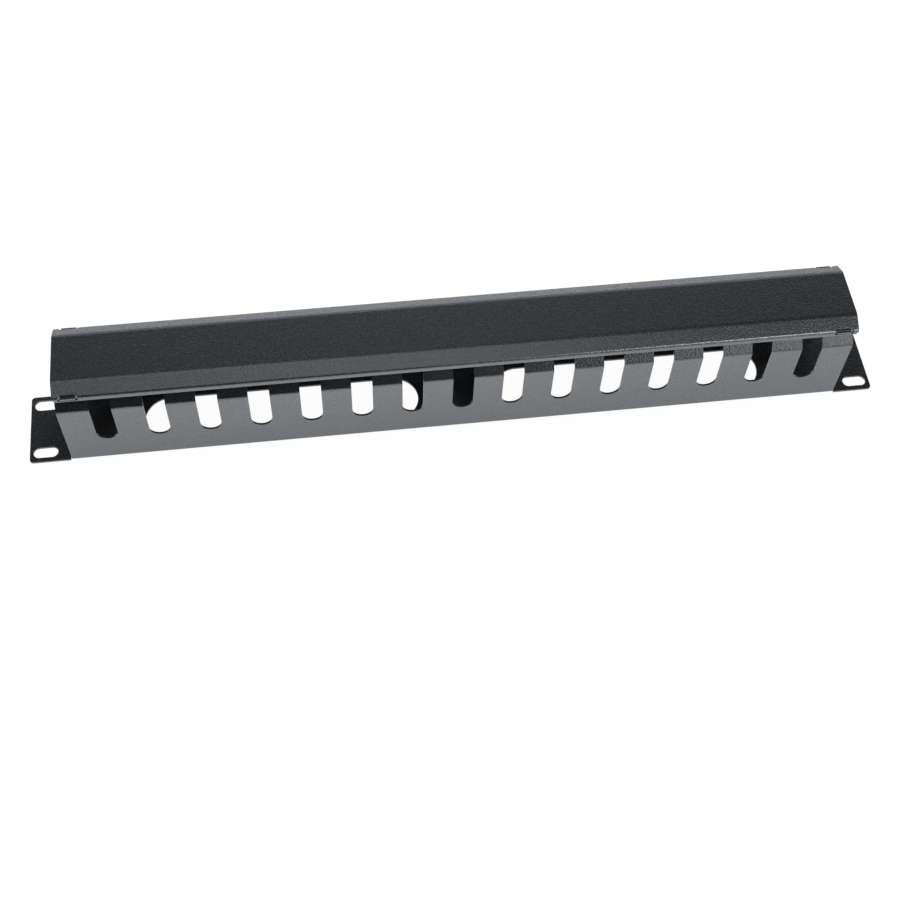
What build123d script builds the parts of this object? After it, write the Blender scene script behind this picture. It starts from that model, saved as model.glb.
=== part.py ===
from build123d import *
import math
import os

# Horizontal cable manager for a 19-inch rack, one unit high, lying on its back.
# X runs along the panel and Z out of the rack; the plate's rear face is at Z = 0.

# Sheet steel
sheet = 1.2
inside_bend = 0.8
outside_bend = inside_bend + sheet

# Mounting plate
panel_length = 482.6
panel_height = 43.66
panel_corner = 2.0
ear_length = 23.3
mount_inset_x = 8.75
mount_inset_y = 5.955
mount_slot_length = 13.6
mount_slot_width = 6.7
mount_spacing_x = panel_length - 2 * mount_inset_x
mount_spacing_y = panel_height - 2 * mount_inset_y

# Side walls, flush with the panel's edges, and their fingers
wall_length = panel_length - 2 * ear_length
wall_half = panel_height / 2
relief_width = 0.6
relief_clearance = 0.4
joggle_start_z = 46.2
joggle_step = 4.5
joggle_rise = 5.3
joggle_bend = 1.8
joggle_end_z = joggle_start_z + joggle_rise
finger_half = wall_half - joggle_step
finger_rise = 7.8
finger_top = joggle_end_z + finger_rise
finger_tip_radius = 3.0

# Finger slots, spread evenly between the corner fingers
slot_count = 15
slot_width = 11.5
slot_foot_z = 18.8
corner_finger_width = 17.35
corner_slot_extra = 0.65
slot_middle = slot_count // 2
corner_slot_x = wall_length / 2 - corner_finger_width - slot_width / 2
slot_pitch = (corner_slot_x - corner_slot_extra) / slot_middle

# Pass-throughs in the back
pass_bridge = 44.6
pass_end_margin = 40.5
pass_width = 28.0
pass_length = (wall_length - pass_bridge) / 2 - pass_end_margin
pass_spacing = pass_bridge + pass_length

# Cover
cover_end_gap = 0.8
cover_length = wall_length - 2 * cover_end_gap
cover_top = 66.0
crease_half = 14.8
crease_bend = 4.0
bevel_drop = 4.5
lip_set_out = 1.37
lip_half = wall_half + lip_set_out
lip_height = 3.0
corner_z = cover_top - bevel_drop
lip_foot_z = corner_z - lip_height
lip_chamfer_x = 1.0
lip_chamfer_z = 2.5

# Windows near the cover's corners and the tabs that stand in them
tab_inset = 8.9
tab_spacing = wall_length - 2 * tab_inset
window_width = 10.3
window_depth = 1.7
window_strip = 0.7
window_corner = 0.8
window_inner = lip_half - window_depth
window_foot_z = lip_foot_z + window_strip
tab_side_gap = 1.15
tab_width = window_width - 2 * tab_side_gap
tab_proud = 0.15
tab_reach = lip_half + tab_proud
tab_seat_gap = 0.05

# Height of the tabs, from the underside of the bevel at the window's inner edge
bevel_slope = math.atan2(bevel_drop, lip_half - crease_half)
window_edge_z = cover_top - (window_inner - crease_half) * math.tan(bevel_slope)
tab_top_z = window_edge_z - sheet / math.cos(bevel_slope) - tab_seat_gap
tab_under_z = tab_top_z - sheet

# How far a cutter runs past what it cuts
overcut = 2 * sheet

os.makedirs("parts", exist_ok=True)


def folded_strip(corners, bends, length):
    """Sheet folded along a line across the panel, its thickness on the line's left; bends are inside radii."""
    front = [Vector(*corner) for corner in corners]
    runs = [(end - start).normalized() for start, end in zip(front, front[1:])]
    lefts = [Vector(-run.Y, run.X) * sheet for run in runs]
    back = [front[0] + lefts[0]]
    front_radii = [0]
    back_radii = [0]
    for k, bend in enumerate(bends):
        mitre = lefts[k] + lefts[k + 1]
        back.append(front[k + 1] + mitre * (sheet**2 / mitre.dot(lefts[k])))
        turns_left = runs[k].cross(runs[k + 1]).Z > 0
        front_radii.append(bend + sheet if turns_left else bend)
        back_radii.append(bend if turns_left else bend + sheet)
    back.append(front[-1] + lefts[-1])
    front_radii.append(0)
    back_radii.append(0)
    with BuildPart() as strip:
        with BuildSketch(Plane.YZ):
            with BuildLine():
                FilletPolyline(*front, *reversed(back), radius=front_radii + back_radii[::-1], close=True)
            make_face()
        extrude(amount=length / 2, both=True)
    return strip.part


# Plate with slotted walls
# One sheet: the plate, two walls folded up from it, and a joggle that brings the finger tips in under the cover.
channel_line = [
    (-finger_half, finger_top),
    (-finger_half, joggle_end_z),
    (-wall_half, joggle_start_z),
    (-wall_half, 0),
    (wall_half, 0),
    (wall_half, joggle_start_z),
    (finger_half, joggle_end_z),
    (finger_half, finger_top),
]
channel_bends = [joggle_bend, joggle_bend, inside_bend, inside_bend, joggle_bend, joggle_bend]

# The corner fingers end in a tab bent outward for the cover's window.
tab_line = [(-tab_reach, tab_under_z), (-finger_half, tab_under_z), (-finger_half, finger_top - outside_bend)]
near_tab = folded_strip(tab_line, [inside_bend], tab_width)
far_tab = mirror(near_tab, about=Plane.XZ)

relief_length = outside_bend + relief_clearance
slot_centres = [k * slot_pitch for k in range(1 - slot_middle, slot_middle)]
slot_centres += [-corner_slot_x, corner_slot_x]
slot_round_z = slot_foot_z + slot_width / 2

with BuildPart() as finger_duct:
    add(folded_strip(channel_line, channel_bends, wall_length))
    # Ears, with a notch that frees the end of each wall's bend
    with BuildSketch():
        with GridLocations(panel_length - ear_length, 0, 2, 1):
            Rectangle(ear_length, panel_height)
    extrude(amount=sheet)
    ear_ends = finger_duct.edges().filter_by(Axis.Z).group_by(SortBy.DISTANCE)[-1]
    fillet(ear_ends, radius=panel_corner)
    with BuildSketch():
        with GridLocations(wall_length + relief_width, panel_height - relief_length, 2, 2):
            Rectangle(relief_width, relief_length)
    extrude(amount=sheet, mode=Mode.SUBTRACT)
    # Rack screw slots
    with BuildSketch():
        with GridLocations(mount_spacing_x, mount_spacing_y, 2, 2):
            SlotOverall(mount_slot_length, mount_slot_width)
    extrude(amount=sheet, mode=Mode.SUBTRACT)
    # Pass-throughs in the back
    with BuildSketch():
        with GridLocations(pass_spacing, 0, 2, 1):
            SlotOverall(pass_length, pass_width)
    extrude(amount=sheet, mode=Mode.SUBTRACT)
    # Finger slots through both walls, round at the foot and open at the tips
    with BuildSketch(Plane.XZ):
        with Locations(*[(x, slot_round_z) for x in slot_centres]):
            Circle(slot_width / 2)
            Rectangle(slot_width, finger_top + overcut - slot_round_z, align=(Align.CENTER, Align.MIN))
    extrude(amount=wall_half + overcut, both=True, mode=Mode.SUBTRACT)
    finger_tips = finger_duct.edges().filter_by(Axis.Y).group_by(Axis.Z)[-1]
    fillet(finger_tips, radius=finger_tip_radius)
    # Tabs for the cover
    with GridLocations(tab_spacing, 0, 2, 1):
        add(near_tab)
        add(far_tab)

export_step(finger_duct.part, "parts/finger_duct.step")

# Cover
# One sheet: a flat face, a bevel down each long side and a short lip that hangs outside the fingers.
cover_line = [
    (lip_half, lip_foot_z),
    (lip_half, corner_z),
    (crease_half, cover_top),
    (-crease_half, cover_top),
    (-lip_half, corner_z),
    (-lip_half, lip_foot_z),
]
cover_bends = [inside_bend, crease_bend, crease_bend, inside_bend]
cover_end = cover_length / 2

# A window starts on the bevel, runs over the bend and leaves a narrow strip along the foot of the lip.
window_reach = window_depth + overcut
with BuildPart() as near_window:
    with Locations((0, -window_inner, window_foot_z)):
        Box(window_width, window_reach, cover_top - window_foot_z, align=(Align.CENTER, Align.MAX, Align.MIN))
    foot_corners = near_window.edges().filter_by(Axis.Y).group_by(Axis.Z)[0]
    inner_corners = near_window.edges().filter_by(Axis.Z).group_by(Axis.Y)[-1]
    fillet(foot_corners + inner_corners, radius=window_corner)
far_window = mirror(near_window.part, about=Plane.XZ)

with BuildPart() as cover:
    add(folded_strip(cover_line, cover_bends, cover_length))
    with GridLocations(tab_spacing, 0, 2, 1):
        add(near_window.part, mode=Mode.SUBTRACT)
        add(far_window, mode=Mode.SUBTRACT)
    # The lip's ends are nipped off so that they don't catch
    with BuildSketch(Plane.XZ):
        with BuildLine():
            Polyline(
                (cover_end - lip_chamfer_x, lip_foot_z),
                (cover_end, lip_foot_z),
                (cover_end, lip_foot_z + lip_chamfer_z),
                close=True,
            )
        make_face()
        mirror(about=Plane.YZ)
    extrude(amount=lip_half + overcut, both=True, mode=Mode.SUBTRACT)

export_step(cover.part, "parts/cover.step")
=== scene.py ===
import math

import bmesh
import bpy
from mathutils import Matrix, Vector


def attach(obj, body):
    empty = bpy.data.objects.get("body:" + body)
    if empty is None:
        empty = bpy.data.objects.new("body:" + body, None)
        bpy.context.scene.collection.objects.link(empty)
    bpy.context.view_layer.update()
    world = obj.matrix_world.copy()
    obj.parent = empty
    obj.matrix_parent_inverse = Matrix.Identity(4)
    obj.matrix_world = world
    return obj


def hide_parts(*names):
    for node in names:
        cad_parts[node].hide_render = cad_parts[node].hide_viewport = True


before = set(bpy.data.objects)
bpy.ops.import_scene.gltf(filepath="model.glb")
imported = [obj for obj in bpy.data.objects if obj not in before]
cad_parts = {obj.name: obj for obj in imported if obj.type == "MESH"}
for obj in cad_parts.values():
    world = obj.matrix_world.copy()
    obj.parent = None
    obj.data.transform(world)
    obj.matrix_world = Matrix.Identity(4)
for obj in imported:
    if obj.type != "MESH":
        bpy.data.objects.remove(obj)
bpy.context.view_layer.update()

# Camera
# The photograph's viewpoint: over the near side of the manager and a little to its left, on a
# 57.5 mm lens in front of a 36 mm frame.
bpy.ops.object.select_all(action="DESELECT")
bpy.ops.object.camera_add(
    location=(-0.07953, -0.46325, 0.68536),
    rotation=(math.radians(32.170), math.radians(-1.528), math.radians(-7.062)),
)
camera = bpy.context.object
camera.name = "photo_camera"
camera.data.lens = 57.5
camera.data.sensor_width = 36.0
camera.data.clip_start = 0.01
bpy.context.scene.camera = camera


# Finger duct
# One steel sheet, slotted, folded up from the mounting plate into two walls of fingers, and
# powder coated black. Screws through its ears fix it to the rack, and its tabs hold the cover.
def linear(hex_colour):
    """Linear red, green, blue and full alpha from an sRGB hex value."""
    channels = [int(hex_colour[i : i + 2], 16) / 255 for i in (1, 3, 5)]
    return [c / 12.92 if c <= 0.04045 else ((c + 0.055) / 1.055) ** 2.4 for c in channels] + [1.0]


def add_node(tree, kind, settings=None, **inputs):
    """A node with its properties set and its inputs given a value or linked to another output.

    An input is named by its socket, or by i and its number where sockets share a name.
    """
    node = tree.nodes.new(kind)
    for name, value in (settings or {}).items():
        setattr(node, name, value)
    for name, value in inputs.items():
        key = int(name[1:]) if name[1:].isdigit() else name.replace("_", " ")
        socket = node.inputs[key]
        if isinstance(value, bpy.types.NodeSocket):
            tree.links.new(value, socket)
        else:
            socket.default_value = value
    return node


# Black powder coat, sprayed on and baked. It gives the eye a dark skin with soft reflections, a
# faint orange peel and a fine grit. Real grit is a few tenths of a millimetre wide, too fine to
# show, so the grit and its grey specks are drawn as coarse as they need to be. The coat's IOR
# is above a real powder's 1.5, which brings the bevels up to the photograph's brightness.
peel_width = 0.0025
peel_depth = 0.00005
grit_width = 0.0008
grit_depth = 0.00013
speck_width = 0.0007

powder_coat = bpy.data.materials.new("black_powder_coat")
powder_coat.use_nodes = True
coat = powder_coat.node_tree
coat.nodes.clear()
place = add_node(coat, "ShaderNodeTexCoord").outputs["Object"]
peel = add_node(
    coat, "ShaderNodeTexNoise", Vector=place, Scale=1 / peel_width, Detail=1.0, Roughness=0.5
)
peel_bump = add_node(
    coat, "ShaderNodeBump", Height=peel.outputs["Fac"], Strength=0.6, Distance=peel_depth
)
grit = add_node(
    coat, "ShaderNodeTexNoise", Vector=place, Scale=1 / grit_width, Detail=1.0, Roughness=0.5
)
grit_bump = add_node(
    coat,
    "ShaderNodeBump",
    Height=grit.outputs["Fac"],
    Strength=1.0,
    Distance=grit_depth,
    Normal=peel_bump.outputs["Normal"],
)
# The gloss is a little weaker in the hollows of the grit.
gloss = add_node(
    coat,
    "ShaderNodeMapRange",
    Value=grit.outputs["Fac"],
    From_Min=0.3,
    From_Max=0.7,
    To_Min=0.75,
    To_Max=1.0,
)
# The higher parts of this noise show as greyer specks in the black.
speck = add_node(
    coat, "ShaderNodeTexNoise", Vector=place, Scale=1 / speck_width, Detail=1.0, Roughness=0.6
)
speck_peak = add_node(
    coat, "ShaderNodeMapRange", Value=speck.outputs["Fac"], From_Min=0.46, From_Max=0.74
)
pigment = add_node(
    coat,
    "ShaderNodeMix",
    {"data_type": "RGBA"},
    Factor=speck_peak.outputs["Result"],
    i6=linear("#2B2C2E"),
    i7=linear("#3C3E40"),
)
skin = add_node(
    coat,
    "ShaderNodeBsdfPrincipled",
    Base_Color=pigment.outputs[2],
    Roughness=0.4,
    IOR=1.45,
    Specular_IOR_Level=0.25,
    Coat_Weight=gloss.outputs["Result"],
    Coat_Roughness=0.22,
    Coat_IOR=2.0,
    Normal=grit_bump.outputs["Normal"],
    Coat_Normal=grit_bump.outputs["Normal"],
)
add_node(coat, "ShaderNodeOutputMaterial", Surface=skin.outputs["BSDF"])

# Faces that turn less than flat_turn are merged, edges sharper than cut_turn are rounded as the
# coat rounds them, and the shading runs smoothly over turns below bend_turn.
merge_distance = 1e-6
flat_turn = math.radians(0.5)
cut_turn = math.radians(40)
bend_turn = math.radians(50)
cut_rounding = 0.0002


def coated(node, name, body):
    """A merged copy of a CAD node, with smooth bends and rounded cut edges, that replaces it."""
    mesh = node.data.copy()
    mesh.name = name
    form = bmesh.new()
    form.from_mesh(mesh)
    bmesh.ops.remove_doubles(form, verts=form.verts, dist=merge_distance)
    bmesh.ops.dissolve_limit(form, angle_limit=flat_turn, verts=form.verts, edges=form.edges)
    form.to_mesh(mesh)
    form.free()
    mesh.materials.clear()
    mesh.materials.append(powder_coat)
    piece = bpy.data.objects.new(name, mesh)
    bpy.context.scene.collection.objects.link(piece)
    bpy.ops.object.select_all(action="DESELECT")
    piece.select_set(True)
    bpy.context.view_layer.objects.active = piece
    rounding = piece.modifiers.new("rounding", "BEVEL")
    rounding.width = cut_rounding
    rounding.segments = 2
    rounding.limit_method = "ANGLE"
    rounding.angle_limit = cut_turn
    bpy.ops.object.modifier_apply(modifier=rounding.name)
    bpy.ops.object.shade_smooth_by_angle(angle=bend_turn)
    weighting = piece.modifiers.new("weighting", "WEIGHTED_NORMAL")
    weighting.keep_sharp = True
    weighting.weight = 100
    bpy.ops.object.modifier_apply(modifier=weighting.name)
    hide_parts(node.name)
    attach(piece, body)
    return piece


coated(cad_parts["finger_duct"], "coated_finger_duct", "duct")

# Cover
# A second steel sheet in the same coat: a flat face with a bevel and a short lip down each long
# side. It hangs on the duct's tabs, which stand in its four windows, and swings on the far ones.
cover = coated(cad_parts["cover"], "coated_cover", "cover")

# Floor
# A plain white sheet. The camera sees it nearly white by itself, and the rest of its brightness
# comes from the lamps, so that a faint shadow stays. It throws little light back on the manager,
# the coat mirrors it a little greyer, and it is clear from below, so that the rear face shows.
floor_width = 8.0

bpy.ops.object.select_all(action="DESELECT")
bpy.ops.mesh.primitive_plane_add(size=floor_width, location=(0.0, 0.0, 0.0))
floor = bpy.context.object
floor.name = "floor"
white_sheet = bpy.data.materials.new("matt_white_sheet")
white_sheet.use_nodes = True
sheet = white_sheet.node_tree
sheet.nodes.clear()
ray = add_node(sheet, "ShaderNodeLightPath")
paper = add_node(
    sheet,
    "ShaderNodeMix",
    {"data_type": "RGBA"},
    Factor=ray.outputs["Is Camera Ray"],
    i6=linear("#F2F2F2"),
    i7=(0.12, 0.12, 0.12, 1.0),
)
lamplit = add_node(sheet, "ShaderNodeBsdfDiffuse", Color=paper.outputs[2])
mirrored = add_node(
    sheet,
    "ShaderNodeMix",
    {"data_type": "RGBA"},
    Factor=ray.outputs["Is Glossy Ray"],
    i6=linear("#000000"),
    i7=linear("#D8DCE0"),
)
glow_colour = add_node(
    sheet,
    "ShaderNodeMix",
    {"data_type": "RGBA"},
    Factor=ray.outputs["Is Camera Ray"],
    i6=mirrored.outputs[2],
    i7=linear("#FAFAFA"),
)
glow = add_node(sheet, "ShaderNodeEmission", Color=glow_colour.outputs[2], Strength=1.0)
top_side = add_node(
    sheet, "ShaderNodeAddShader", i0=lamplit.outputs["BSDF"], i1=glow.outputs["Emission"]
)
clear = add_node(sheet, "ShaderNodeBsdfTransparent")
from_below = add_node(sheet, "ShaderNodeNewGeometry").outputs["Backfacing"]
both_sides = add_node(
    sheet,
    "ShaderNodeMixShader",
    Fac=from_below,
    i1=top_side.outputs["Shader"],
    i2=clear.outputs["BSDF"],
)
add_node(sheet, "ShaderNodeOutputMaterial", Surface=both_sides.outputs["Shader"])
floor.data.materials.append(white_sheet)

# Studio light
# A dim room with a white backdrop that only the camera sees. The coat doesn't mirror the room,
# which keeps the cover's flat face and the ears dark. Soft boxes stand in front, overhead and
# on the right, a bank stands behind, and two panels light the top and the rear face.
world = bpy.data.worlds.new("studio")
bpy.context.scene.world = world
world.use_nodes = True
world.cycles_visibility.glossy = False
room = world.node_tree
room.nodes.clear()
room_ray = add_node(room, "ShaderNodeLightPath")
dim = add_node(room, "ShaderNodeBackground", Color=linear("#F4F9FF"), Strength=0.15)
backdrop = add_node(room, "ShaderNodeBackground", Color=linear("#FFFFFF"), Strength=1.0)
surroundings = add_node(
    room,
    "ShaderNodeMixShader",
    Fac=room_ray.outputs["Is Camera Ray"],
    i1=dim.outputs["Background"],
    i2=backdrop.outputs["Background"],
)
add_node(room, "ShaderNodeOutputWorld", Surface=surroundings.outputs["Shader"])

# Each lamp faces the middle of the manager. Its centre, width and height are in metres.
lamp_aim = Vector((0.0, 0.0, 0.03))
cool_white = (0.91, 0.955, 1.0)
for name, centre, width, height, watts in (
    ("box_over_camera", (-0.25, -0.68, 1.42), 1.25, 0.22, 1.0),
    ("box_zenith_left", (-0.15, -0.22, 1.50), 1.25, 0.40, 1.5),
    ("box_camera_right", (0.85, -0.72, 1.35), 0.7, 0.25, 0.5),
    ("box_front_right", (1.15, -1.50, 0.75), 1.3, 0.8, 6.3),
    ("box_high_right", (0.90, -1.35, 1.36), 0.85, 0.5, 10.5),
    ("bank_behind", (0.1, 1.7, 0.85), 3.2, 1.3, 8.4),
    ("panel_overhead", (-0.04, 0.08, 0.42), 0.36, 0.2, 1.15),
    ("panel_below", (0.0, 0.0, -0.90), 1.2, 0.8, 8.0),
):
    turn = (lamp_aim - Vector(centre)).to_track_quat("-Z", "Y").to_euler()
    bpy.ops.object.light_add(type="AREA", location=centre, rotation=turn)
    lamp = bpy.context.object
    lamp.name = name
    lamp.visible_camera = False
    lamp.data.shape = "RECTANGLE"
    lamp.data.size = width
    lamp.data.size_y = height
    lamp.data.energy = watts
    lamp.data.color = cool_white

# The panel overhead isn't mirrored. The high box on the right only draws the bright line along
# the bend over the cover's lip.
bpy.data.objects["panel_overhead"].visible_glossy = False
rim_box = bpy.data.objects["box_high_right"]
rim_box.visible_diffuse = False
on_cover = bpy.data.collections.new("lit_by_box_high_right")
on_cover.objects.link(cover)
rim_box.light_linking.receiver_collection = on_cover

bpy.context.scene.view_settings.view_transform = "Standard"
